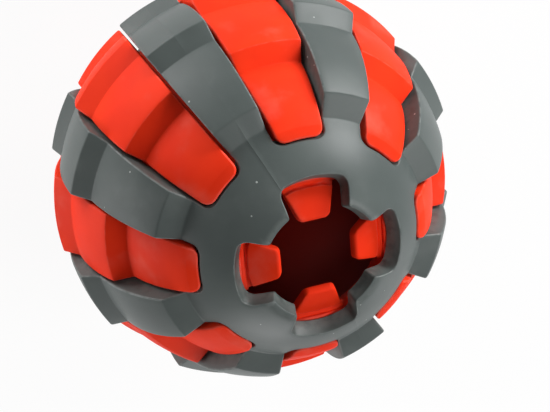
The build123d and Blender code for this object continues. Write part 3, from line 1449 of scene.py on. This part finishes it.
@dataclass
class Core:
    """The red ball: a hollow wall with a stepped block in each window and an opening at each pole.

    Args:
        cage: the cage whose windows the blocks stand in.
        wall: outer side of the wall.
        cavity: inner side of the wall.
        block_gap: gap between a block and the sides of its window.
        block_corner: radius of the corners of the blocks.
        end_gap: gap between a block and the ends of its window, in plan.
        end_lift: height of the ends of a block over the cap.
        end_bevel: length of the bevel at the ends of a block, in plan.
        end_rise: height of the top of that bevel over the cap.
        low_drop: depth of the foot of the first ramp under the crests of the ribs.
        mid_drop: depth of the crest of the first ramp.
        rear_drop: depth of the feet of the other ramps.
        high_drop: depth of the crests of the other ramps.
        ramp_foot_angles: polar angles of the feet of the ramps, in degrees.
        ramp_top_angles: polar angles of the crests of the ramps, in degrees.
        crest_rounding: radius of the crests.
        foot_rounding: radius of the feet of the ramps.
        edge_rounding: radius of the edges of the blocks.
        rim_rounding: radius of the edges of the openings.
        flat_reach: distance from the axis of the flats that the tongues hang on.
        opening_radius: radius of the openings between the flats.
        hinge_radius: distance of the tongues' hinges from the axis.
        hinge_height: height of the hinges over the middle of the ball.
        seat_radius: radius of the seat of a tongue's bead.
        seat_half_length: half of the length of a seat.
        seat_step: half of the width over which a seat ends.
        sharp_angle: bend in degrees past which an edge stays crisp.
        cap_rows: rows of points over a cap.
        strip_rows: rows of points along the sides of a cap's sector.
        seat_points: points of half of a flat, and of the section of a seat.
        rim_points: points of an arc between two flats.
        block: half section through the blocks.
        base: half section of the outer side of the wall.
        hollow: half section of the inner side of the wall.
    """

    cage: Cage
    wall: DoubleCap = DoubleCap(41.8, 31.8, 16.0)
    cavity: DoubleCap = DoubleCap(37.3, 27.6, 16.0)
    block_gap: float = 0.75
    block_corner: float = 2.2
    end_gap: float = 0.3
    end_lift: float = 0.15
    end_bevel: float = 2.55
    end_rise: float = 2.0
    low_drop: float = 6.1
    mid_drop: float = 2.7
    rear_drop: float = 3.4
    high_drop: float = 0.44
    ramp_foot_angles: tuple[float, ...] = (61.7, 89.0, 118.0)
    ramp_top_angles: tuple[float, ...] = (66.7, 95.0, 123.5)
    crest_rounding: float = 0.55
    foot_rounding: float = 0.6
    edge_rounding: float = 0.5
    rim_rounding: float = 0.5
    flat_reach: float = 17.6
    opening_radius: float = 19.2
    hinge_radius: float = 17.2
    hinge_height: float = 39.997
    seat_radius: float = 1.38
    seat_half_length: float = 7.3
    seat_step: float = 0.02
    sharp_angle: float = 50.0
    cap_rows: int = 7
    strip_rows: int = 5
    seat_points: int = 9
    rim_points: int = 8
    block: Meridian = field(init=False)
    base: Meridian = field(init=False)
    hollow: Meridian = field(init=False)

    def __post_init__(self) -> None:
        """Draw the half sections of the blocks, of the wall and of the cavity."""
        end_out = self.cage.window_end + self.end_gap
        crest_out = end_out + self.end_bevel
        end = Corner(end_out, float(self.cage.cap.height(end_out)) + self.end_lift)
        crest_up = float(self.cage.cap.height(crest_out)) + self.end_rise
        crest = Corner(crest_out, crest_up, self.crest_rounding)
        top_radius = self.cage.tread_radius
        foot_drops = (self.low_drop, self.rear_drop, self.rear_drop)
        top_drops = (self.mid_drop, self.high_drop, self.high_drop)
        feet = [
            polar_corner(top_radius - drop, angle, self.foot_rounding)
            for drop, angle in zip(foot_drops, self.ramp_foot_angles)
        ]
        tops = [
            polar_corner(top_radius - drop, angle, self.crest_rounding)
            for drop, angle in zip(top_drops, self.ramp_top_angles)
        ]
        corners = [end]
        start = crest
        for foot, top in zip(feet, tops):
            corners += [start, *swelling_run(start, foot), foot]
            start = top
        corners += [start, *swelling_run(start, crest.mirrored()), crest.mirrored(), end.mirrored()]
        self.block = Meridian(corners)
        self.base = self.wall.meridian(self._polar(self.wall, self.flat_reach))
        self.hollow = self.cavity.meridian(self._polar(self.cavity, self.flat_reach))

    @staticmethod
    def _polar(shape: DoubleCap, out: float) -> float:
        """Polar angle of a cap at a distance from the axis."""
        return float(np.arctan2(out, shape.height(np.array(out))))

    def belt(self) -> MeshDraft:
        """One eighth of the ball between its caps, with a whole block.

        Returns:
            The draft of the sector.
        """
        half_turn = pi / self.cage.rib_count
        draft = MeshDraft()
        ends = (0.0, self.block.length)
        half_angle = radians(self.cage.window_half_angle)
        turn, walk = wedge_loop(self.block, half_angle, self.block_gap, ends, self.block_corner)
        # Walked the other way round, the block lies on the left of its edge.
        edge = Edge(turn[::-1], walk[::-1], True, self.edge_rounding)
        flat = self.block.point(edge.walk)
        drop = lean_inwards(flat, *WALL_LEAN)
        top_turn, top_walk, rings = edge.rings(self.block, drop)
        rows = self.block.rows(0.0, self.block.length, FINE_ROW)
        top = add_patch(draft, self.block, half_turn, rows, (top_turn, top_walk))
        foot = self.wall.hit(flat, drop)
        foot_walk = self.base.walk_at_polar(np.arctan2(foot[:, 0], foot[:, 1]))
        start = self.base.walk_at_out(self.cage.ring_radius)
        end = self.base.length - start
        base_rows = self.base.rows(start, end, SPHERE_ROW)
        outline = frame_outline(half_turn, base_rows, even_row(half_turn, start), even_row(half_turn, end))
        ground = add_patch(draft, self.base, half_turn, base_rows, outline, [(edge.turn, foot_walk)])
        first = len(outline[0])
        chain = [top[: len(edge.turn)], *(draft.add(ring) for ring in rings[1:])]
        chain.append(ground[first : first + len(edge.turn)])
        draft.loft(chain, True)
        return draft

    def opening_plan(self) -> Array:
        """Plan of a quarter of the opening about +X: a flat for a tongue between two arcs.

        Returns:
            Points from low to high azimuth.
        """
        flat_half = sqrt(self.opening_radius**2 - self.flat_reach**2)
        flat_turn = np.arctan2(flat_half, self.flat_reach)
        seat_in = self.seat_half_length - self.seat_step
        seat_out = self.seat_half_length + self.seat_step
        across = np.append(np.linspace(0, seat_in, self.seat_points), seat_out)
        flat = np.stack((np.full(len(across), self.flat_reach), across), axis=1)
        rim = arc((0, 0), self.opening_radius, flat_turn, pi / self.cage.notch_count, self.rim_points)
        half = np.vstack((flat, rim))
        return np.vstack((half[:0:-1] * (1, -1), half))

    def cap_sector(self) -> MeshDraft:
        """One quarter of the upper cap, with the seat of a tongue and the cavity down to the middle.

        Returns:
            The draft of the sector.
        """
        half_turn = pi / self.cage.notch_count
        plan = self.opening_plan()
        out = np.hypot(plan[:, 0], plan[:, 1])
        turn = np.arctan2(plan[:, 1], plan[:, 0])
        draft = MeshDraft()
        walk = np.array([self.base.walk_at_out(float(one)) for one in out])
        edge = Edge(turn, walk, False, self.rim_rounding)
        drop = np.tile((0.0, -1.0), (len(turn), 1))
        rim_turn, rim_walk, rings = edge.rings(self.base, drop)
        end = self.base.walk_at_out(self.cage.ring_radius)
        side_rows = np.linspace(float(rim_walk[0]), end, self.strip_rows)[1:-1]
        outline = frame_outline(half_turn, side_rows, (rim_turn, rim_walk), even_row(half_turn, end))
        rows = np.linspace(0, end, self.cap_rows)[1:-1]
        roof = add_patch(draft, self.base, half_turn, rows, outline)
        hollow_walk = np.array([self.hollow.walk_at_out(float(one)) for one in out])
        middle = self.hollow.length / 2
        hollow_rows = self.hollow.rows(float(hollow_walk.max()) + HOLLOW_ROW, middle, HOLLOW_ROW)
        lid = frame_outline(half_turn, hollow_rows, (turn, hollow_walk), even_row(half_turn, middle))
        den = add_patch(draft, self.hollow, half_turn, hollow_rows, lid, turned=True)
        chain = [roof[: len(turn)], *(draft.add(ring) for ring in rings[1:])]
        chain += [draft.add(row) for row in self.seat_rows(plan)]
        chain.append(den[: len(turn)])
        draft.loft(chain, False)
        return draft

    def seat_rows(self, plan: Array) -> list[Array]:
        """Rows of points down the wall of the opening, round the groove that a tongue's bead sits in.

        Args:
            plan: plan of the opening.

        Returns:
            The rows from the top of the groove to its foot.
        """
        setback = self.flat_reach - self.hinge_radius
        half_mouth = acos(setback / self.seat_radius)
        seated = np.abs(plan[:, 1]) < self.seat_half_length
        rows = []
        for angle in np.linspace(half_mouth, -half_mouth, self.seat_points):
            out = np.where(seated, self.hinge_radius + self.seat_radius * cos(angle), plan[:, 0])
            height = np.full(len(plan), self.hinge_height + self.seat_radius * sin(angle))
            rows.append(np.stack((out, plan[:, 1], height), axis=1))
        return rows

    def build(self, repeat: RepeatTree, material: bpy.types.Material) -> bpy.types.Object:
        """Build the ball.

        Args:
            repeat: the tree that repeats a sector.
            material: the red rubber.

        Returns:
            The ball.
        """
        parts = [repeat.run(self.belt().mesh("core_blocks"), self.cage.rib_count, material)]
        cap = self.cap_sector()
        for end in End:
            sector = cap.mesh(f"core_cap_{end.name.lower()}", (1, 1, end.value))
            parts.append(repeat.run(sector, self.cage.notch_count, material))
        shell = weld(parts)
        mark_wear_and_highlight(shell)
        return piece("inner_ball", shell, material, self.sharp_angle)


@dataclass
class Tongue:
    """A red tongue: a crowned blade that steps down to a thin web and the round bead it bends on.

    Args:
        core: the red ball that it hangs on.
        bead_radius: radius of the bead.
        bead_half_length: half of the length of the bead.
        root_half_width: half of the width of the blade at the hinge.
        tip_half_width: half of the width at the tip.
        tip_radius: distance of the tip from the axis.
        tip_rise: height of the tip over the hinge.
        step_radius: distance of the step between web and blade from the axis.
        step_run: length of that step.
        web_half: half of the thickness of the web.
        root_half: half of the thickness that the blade has towards the hinge.
        middle_half: half of the thickness in the middle of the blade.
        tip_half: half of the thickness at the tip.
        tip_corner: radius of the corners of the tip.
        tip_power: how full the rounded tip is; 2 is round, more is fuller.
        square: how square a section is; 2 is round, more is squarer.
        around: points round a section.
        root_run: distance from the hinge over which the sections lie close.
        back_sections: sections round the back of the bead.
        root_sections: sections over the root.
        blade_sections: sections over the blade.
        tip_sections: sections over the corners of the tip.
        sharp_angle: bend in degrees past which an edge stays crisp.
    """

    core: Core
    bead_radius: float = 1.3
    bead_half_length: float = 7.0
    root_half_width: float = 6.8
    tip_half_width: float = 3.6
    tip_radius: float = 8.9
    tip_rise: float = 4.4
    step_radius: float = 15.8
    step_run: float = 0.5
    web_half: float = 0.55
    root_half: float = 1.0
    middle_half: float = 1.4
    tip_half: float = 1.1
    tip_corner: float = 1.2
    tip_power: float = 3.2
    square: float = 7.0
    around: int = 64
    root_run: float = 3.6
    back_sections: int = 7
    root_sections: int = 26
    blade_sections: int = 10
    tip_sections: int = 14
    sharp_angle: float = 60.0

    @property
    def length(self) -> float:
        """Length from the hinge to the tip."""
        return sqrt((self.core.hinge_radius - self.tip_radius) ** 2 + self.tip_rise**2)

    def half_width(self, along: float) -> float:
        """Half of the width of the tongue.

        Args:
            along: distance from the hinge towards the tip.

        Returns:
            The half width.
        """
        if along < self.bead_radius:
            return self.bead_half_length
        taper = self.tip_half_width - self.root_half_width
        width = self.root_half_width + taper * along / self.length
        past = along - (self.length - self.tip_corner)
        if past > 0:
            width -= self.tip_corner - sqrt(max(self.tip_corner**2 - past**2, 0.0))
        return width

    def half_thickness(self, along: float, across: Array) -> Array:
        """Half of the thickness of the tongue, over its width.

        Args:
            along: distance from the hinge towards the tip.
            across: distances from the middle line.

        Returns:
            The half thicknesses.
        """
        share = along / self.length
        ends = self.root_half + (self.tip_half - self.root_half) * share
        bulge = self.middle_half - (self.root_half + self.tip_half) / 2
        blade = ends + 4 * bulge * share * (1 - share)
        reach = np.hypot(self.core.hinge_radius - along, across)
        rise = smooth_step(np.clip((self.step_radius - reach) / self.step_run + 0.5, 0, 1))
        half = self.web_half + (blade - self.web_half) * rise
        bead = sqrt(max(self.bead_radius**2 - along**2, 0.0))
        half = np.maximum(half, bead) if along > 0 else np.full_like(across, bead)
        past = max(along - (self.length - self.tip_half), 0.0) / self.tip_half
        return half * max(1 - past**self.tip_power, 0.0) ** (1 / self.tip_power)

    def stations(self) -> Array:
        """Places where a section is drawn.

        Returns:
            Distances from the hinge towards the tip.
        """
        back = -self.bead_radius * np.cos(np.linspace(0, pi / 2, self.back_sections)[:-1])
        root = np.linspace(0, self.root_run, self.root_sections)
        blade = np.linspace(self.root_run, self.length - self.tip_corner, self.blade_sections)[1:-1]
        tip_bend = np.linspace(0, pi / 2, self.tip_sections)
        tip = self.length - self.tip_corner * (1 - np.sin(tip_bend))
        return np.concatenate((back, root, blade, tip))

    def draft(self) -> MeshDraft:
        """Loft the tongue, along -X from its hinge on the Y axis.

        Returns:
            The draft.
        """
        made = MeshDraft()
        angles = np.linspace(0, 2 * pi, self.around, endpoint=False)
        power = 2 / self.square
        side = np.sign(np.cos(angles)) * np.abs(np.cos(angles)) ** power
        lift = np.sign(np.sin(angles)) * np.abs(np.sin(angles)) ** power
        rows = []
        for along in self.stations():
            across = side * self.half_width(float(along))
            height = lift * self.half_thickness(float(along), across)
            rows.append(made.add(np.stack((np.full_like(across, -along), across, height), axis=1)))
        made.loft(rows, True)
        for end_row in (rows[0], rows[-1]):
            made.add_faces(end_row, [tuple(range(self.around))])
        return made

    def build(self, end: End, number: int, count: int, material: bpy.types.Material) -> bpy.types.Object:
        """Build one tongue in its place.

        Args:
            end: the opening it closes.
            number: its number, counted from 1.
            count: how many tongues an opening has.
            material: the red rubber.

        Returns:
            The tongue.
        """
        name = f"{end.name.lower()}_tongue_{number}"
        mesh = self.draft().mesh(name)
        slope = asin(self.tip_rise / self.length)
        place = Matrix.Translation(Vector((self.core.hinge_radius, 0, self.core.hinge_height)) * MM)
        mirror = Matrix.Diagonal((1, 1, end.value, 1))
        turn = Matrix.Rotation(2 * pi * (number - 1) / count, 4, "Z")
        mesh.transform(turn @ mirror @ place @ Matrix.Rotation(slope, 4, "Y"))
        shell = weld([mesh])
        mark_wear_and_highlight(shell)
        return piece(name, shell, material, self.sharp_angle)


@dataclass(frozen=True)
class Lamp:
    """A soft lamp.

    Args:
        name: its name.
        azimuth: its azimuth about the ball's axis, in degrees.
        elevation: its elevation in degrees.
        power: its power in watts.
    """

    name: str
    azimuth: float
    elevation: float
    power: float


@dataclass
class Studio:
    """Camera, soft lights and pale floor.

    Args:
        tilt: angle between the axis of the ball and the line of sight, in degrees.
        lean: way that the axis tilts in the picture, in degrees from the right downwards.
        turn: turn of the ball about its axis, in degrees.
        distance: distance of the camera from the middle of the ball, in metres.
        focal: focal length in millimetres.
        sensor: width of the sensor in millimetres.
        clip: nearest and farthest distance that the camera shows, in metres.
        aim_right: how far the camera aims right of the middle of the ball, in metres.
        aim_down: how far it aims below the middle of the ball, in metres.
        lamp_distance: distance of the lamps from the middle of the ball, in metres.
        lamp_size: side of a lamp, in metres.
        fill_strength: strength of the light from all round.
        floor_reach: half of the side of the floor, in metres.
        floor_tone: how pale the floor is.
        floor_glow: share of its own glow in what the camera sees of the floor.
        axes: the axes of the ball as columns, each as parts right, up and towards the viewer.
    """

    tilt: float = 31.0
    lean: float = 49.5
    turn: float = 58.5
    distance: float = 0.625
    focal: float = 166.1
    sensor: float = 36.0
    clip: tuple[float, float] = (0.01, 20.0)
    aim_right: float = 0.00552
    aim_down: float = 0.0067
    lamp_distance: float = 0.9
    lamp_size: float = 0.45
    fill_strength: float = 0.02
    floor_reach: float = 6.0
    floor_tone: float = 0.9
    floor_glow: float = 0.94
    axes: Array = field(init=False)

    def __post_init__(self) -> None:
        """Work out the axes of the ball from how it lies in the picture."""
        lean, tilt, turn = (radians(angle) for angle in (self.lean, self.tilt, self.turn))
        towards = np.array((cos(lean), -sin(lean), 0))
        sideways = np.array((sin(lean), cos(lean), 0))
        viewer = np.array((0, 0, 1.0))
        axis = sin(tilt) * towards + cos(tilt) * viewer
        flat = cos(tilt) * towards - sin(tilt) * viewer
        ball_x = cos(turn) * flat + sin(turn) * sideways
        ball_y = -sin(turn) * flat + cos(turn) * sideways
        self.axes = np.stack((ball_x, ball_y, axis), axis=1)

    def world(self, picture: Sequence[float]) -> Vector:
        """A direction given as right, up and towards the viewer, in the ball's frame."""
        return Vector(self.axes.T @ np.array(picture, float))

    def camera(self) -> None:
        """Place the camera."""
        data = bpy.data.cameras.new("camera")
        data.lens = self.focal
        data.sensor_width = self.sensor
        data.clip_start, data.clip_end = self.clip
        made = bpy.data.objects.new("camera", data)
        right, up, back = (self.world(axis) for axis in np.eye(3))
        place = back * self.distance
        behind = (place - right * self.aim_right + up * self.aim_down).normalized()
        across = up.cross(behind).normalized()
        spin = Matrix((across, behind.cross(across), behind)).transposed()
        made.matrix_world = Matrix.Translation(place) @ spin.to_4x4()
        bpy.context.scene.collection.objects.link(made)
        bpy.context.scene.camera = made

    def light(self, lamp: Lamp) -> None:
        """Hang a soft square lamp that points at the ball.

        Args:
            lamp: where it hangs and how strong it is.
        """
        data = bpy.data.lights.new(lamp.name, "AREA")
        data.shape = "SQUARE"
        data.size = self.lamp_size
        data.energy = lamp.power
        azimuth, elevation = radians(lamp.azimuth), radians(lamp.elevation)
        way = Vector((cos(elevation) * cos(azimuth), cos(elevation) * sin(azimuth), sin(elevation)))
        made = bpy.data.objects.new(lamp.name, data)
        made.location = way * self.lamp_distance
        made.rotation_mode = "QUATERNION"
        made.rotation_quaternion = (-way).to_track_quat("-Z", "Y")
        made.visible_camera = False
        bpy.context.scene.collection.objects.link(made)

    @staticmethod
    def _shown(sheet: NodeSheet) -> Wire:
        """Tell the rays that show the background: seen directly, mirrored or through the object.

        Args:
            sheet: the sheet that gets the nodes.

        Returns:
            1 for those rays and 0 for others.
        """
        rays = sheet.add("ShaderNodeLightPath")
        seen, mirrored, through = (
            sheet.wire(rays, f"Is {kind} Ray") for kind in ("Camera", "Glossy", "Transmission")
        )
        return seen + mirrored + through

    def world_light(self) -> None:
        """Set an even light from all round, white to the camera and in reflections."""
        made = bpy.data.worlds.new("studio")
        made.use_nodes = True
        made.node_tree.nodes.clear()
        sheet = NodeSheet(made.node_tree)
        level = self._shown(sheet) * (1 - self.fill_strength) + self.fill_strength
        back = sheet.add("ShaderNodeBackground", None, {"Color": (1, 1, 1, 1), "Strength": level})
        sheet.add("ShaderNodeOutputWorld", None, {"Surface": back.outputs[0]})
        bpy.context.scene.world = made

    def floor(self, height: float) -> None:
        """Lay a pale floor.

        Args:
            height: its height.
        """
        mesh = bpy.data.meshes.new("floor")
        plan = ((-1, -1), (1, -1), (1, 1), (-1, 1))
        corners = [(self.floor_reach * right, self.floor_reach * up, height) for right, up in plan]
        mesh.from_pydata(corners, [], [(0, 1, 2, 3)])
        made = bpy.data.objects.new("floor", mesh)
        bpy.context.scene.collection.objects.link(made)
        material = bpy.data.materials.new("pale_floor")
        material.use_nodes = True
        material.node_tree.nodes.clear()
        sheet = NodeSheet(material.node_tree)
        seen = self._shown(sheet)
        tone = (self.floor_tone, self.floor_tone, self.floor_tone, 1)
        matt = sheet.add("ShaderNodeBsdfDiffuse", None, {"Color": tone})
        glow = sheet.add("ShaderNodeEmission", None, {"Color": (1, 1, 1, 1), "Strength": 1.0})
        mixed = sheet.add(
            "ShaderNodeMixShader",
            None,
            {0: seen * self.floor_glow, 1: matt.outputs[0], 2: glow.outputs[0]},
        )
        sheet.add("ShaderNodeOutputMaterial", None, {"Surface": mixed.outputs[0]})
        mesh.materials.append(material)
        # The floor is lit like a light table: lamps under its level shine through it.
        made.visible_shadow = False
        made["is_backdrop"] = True


GREY_RUBBER = RubberFinish(
    name="grey_rubber",
    base=(0.064, 0.078, 0.074),
    shade=(0.053, 0.066, 0.063),
    smudge_and_cavity_shade=(0.040, 0.047, 0.045),
    dust_and_highlight=(0.45, 0.47, 0.45),
    roughness=0.42,
    gloss=0.3,
    bloom_and_sheen=0.05,
    wear=0.2,
    scuff=0.3,
    cavity_shade=0.0,
    speck_share=0.12,
    lint_share=0.02,
)
RED_RUBBER = RubberFinish(
    name="red_rubber",
    base=(0.90, 0.038, 0.008),
    shade=(0.84, 0.031, 0.007),
    smudge_and_cavity_shade=(0.22, 0.008, 0.004),
    dust_and_highlight=(0.95, 0.50, 0.42),
    roughness=0.55,
    gloss=0.06,
    bloom_and_sheen=0.1,
    wear=0.1,
    scuff=0.08,
    # Strong painted shade over the inside of the red ball.
    cavity_shade=0.9,
    speck_share=0.012,
    lint_share=0.0,
)
LAMPS = (
    Lamp("key_lamp", 44, 11, 10.0),
    Lamp("top_lamp", -15, 60, 4.8),
    Lamp("front_lamp", 116, 52, 0.8),
    Lamp("back_lamp", 124, -31, 6.6),
    Lamp("left_lamp", 192, -22, 4.0),
    Lamp("low_lamp", 258, 9, 2.9),
    Lamp("side_lamp", 318, -10, 2.4),
)


def main() -> None:
    """Build the ball, dress it and set up the picture."""
    logging.basicConfig(level=logging.INFO, format="%(message)s")
    cad_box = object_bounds()
    scene = bpy.context.scene
    scene.view_settings.view_transform = "Standard"
    grey = GREY_RUBBER.material()
    red = RED_RUBBER.material()
    repeat = RepeatTree()
    cage = Cage()
    core = Core(cage)
    tongue = Tongue(core)
    made: list[tuple[bpy.types.Object, str, str]] = []
    for half in cage.build(repeat, grey):
        made.append((half, "ball", GREY_RUBBER.name))
    made.append((core.build(repeat, red), "ball", RED_RUBBER.name))
    for end in End:
        for number in range(1, cage.notch_count + 1):
            one = tongue.build(end, number, cage.notch_count, red)
            made.append((one, f"{end.name.lower()}_tongue_{number}", RED_RUBBER.name))
    for one, body, slot in made:
        node = one.name.split(".")[0]
        one.name = f"{node}_rubber"
        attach(one, body)
        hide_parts(node)
        log.info("%s rides on %s, %d faces", one.name, body, len(one.data.polygons))
    studio = Studio()
    studio.camera()
    studio.world_light()
    for lamp in LAMPS:
        studio.light(lamp)
    studio.floor(cad_box[0].z)


if __name__ == "__main__":
    main()
